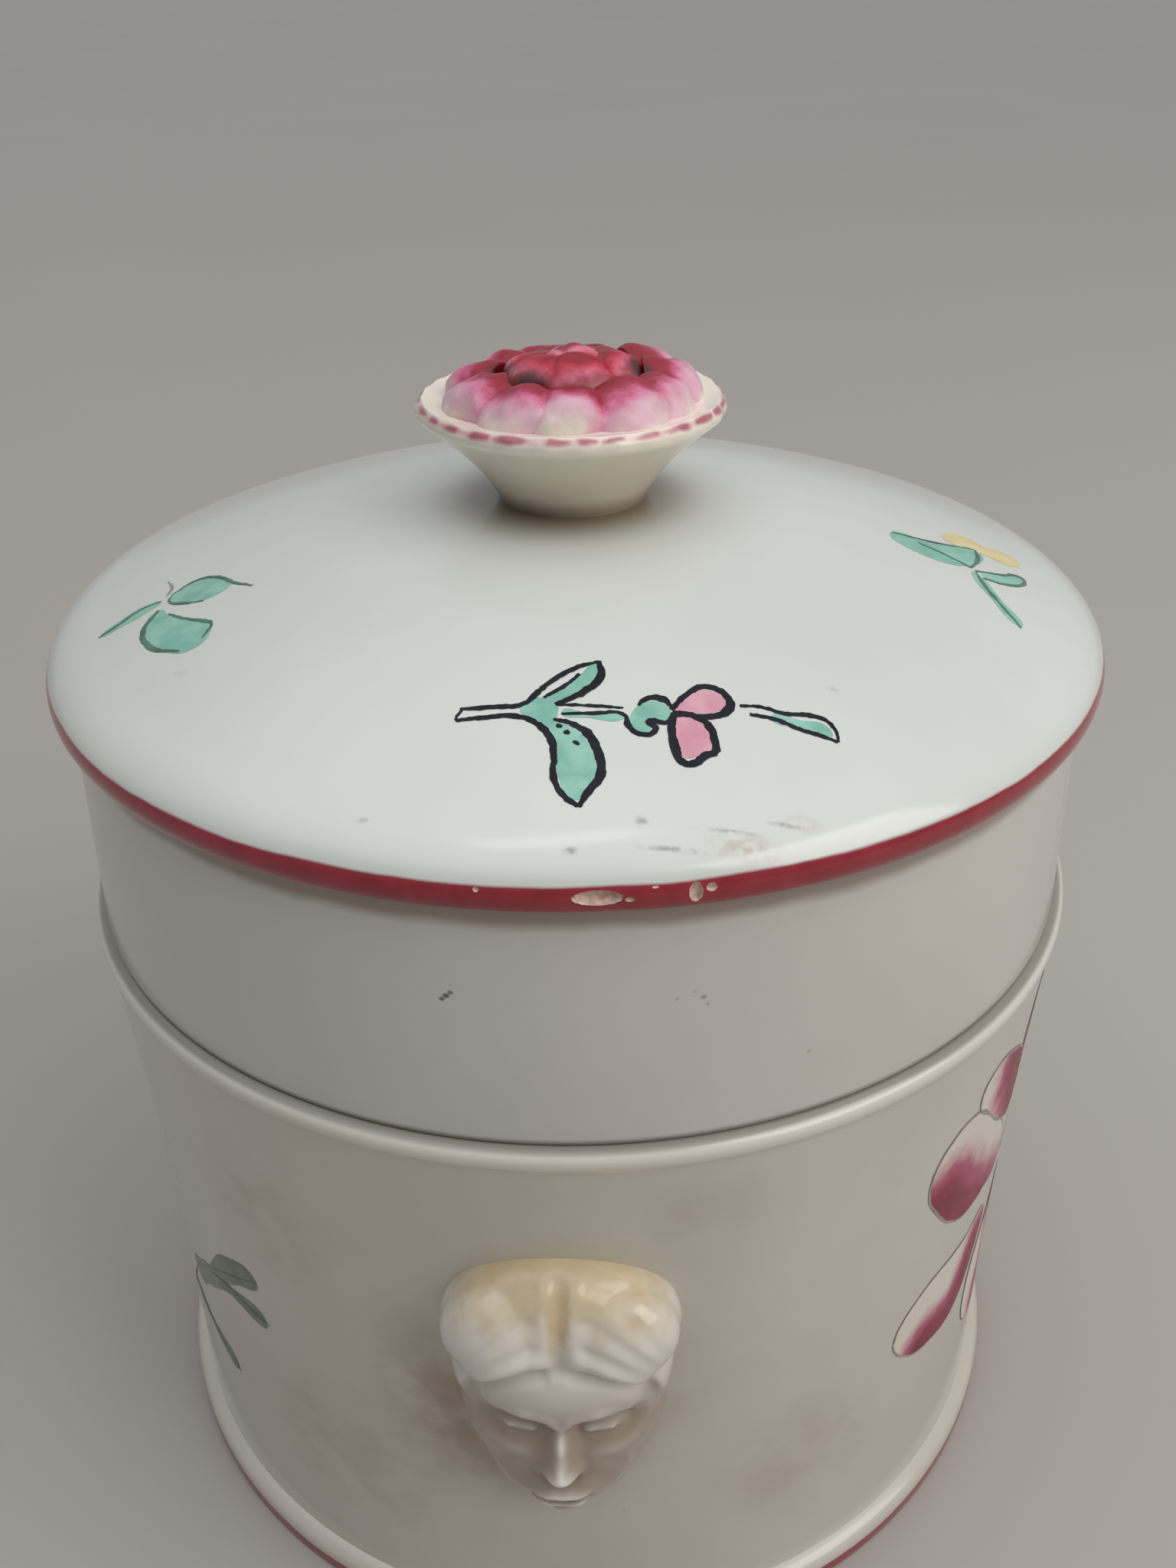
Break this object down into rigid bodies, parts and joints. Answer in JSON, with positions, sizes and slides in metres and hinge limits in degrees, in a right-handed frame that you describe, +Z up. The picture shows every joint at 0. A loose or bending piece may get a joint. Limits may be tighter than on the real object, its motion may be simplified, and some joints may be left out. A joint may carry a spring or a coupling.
{
  "type": "lidded pot",
  "caption": "Glazed earthenware pot: footed pail with mask lugs, lift-out inner vessel with a plain collar, and a domed lid with a rose knob.",
  "frame": {"origin": "on the table, on the pot's axis, at the underside of the foot ring", "axes": "+Z up, -Y out through the front mask, +X to the right of someone who faces that mask"},
  "size_m": [0.1486, 0.1696, 0.1756],
  "materials": {
    "pail_glaze": "glossy cream glaze with a crimson foot line",
    "mask_glaze": "glossy cream glaze, washed with ochre on the hair",
    "vessel_glaze": "glossy cream glaze",
    "lid_glaze": "glossy cream glaze with a crimson edge line",
    "rose_glaze": "glossy pink and crimson enamel"
  },
  "bodies": {
    "pail": {"outer_pail": "pail_glaze", "front_mask_lug": "mask_glaze", "rear_mask_lug": "mask_glaze"},
    "vessel": {"inner_vessel": "vessel_glaze"},
    "lid": {"lid_shell": "lid_glaze", "knob_cup": "lid_glaze", "rose_core": "rose_glaze", "rose_outer_petals": "rose_glaze", "rose_middle_petals": "rose_glaze", "rose_bud_petals": "rose_glaze"}
  },
  "joints": [
    {"name": "vessel_lift", "type": "slide", "parent": "pail", "child": "vessel", "axis": [0, 0, 1], "range_m": [0, 0.12]},
    {"name": "lid_lift", "type": "slide", "parent": "vessel", "child": "lid", "axis": [0, 0, 1], "range_m": [0, 0.06]}
  ]
}
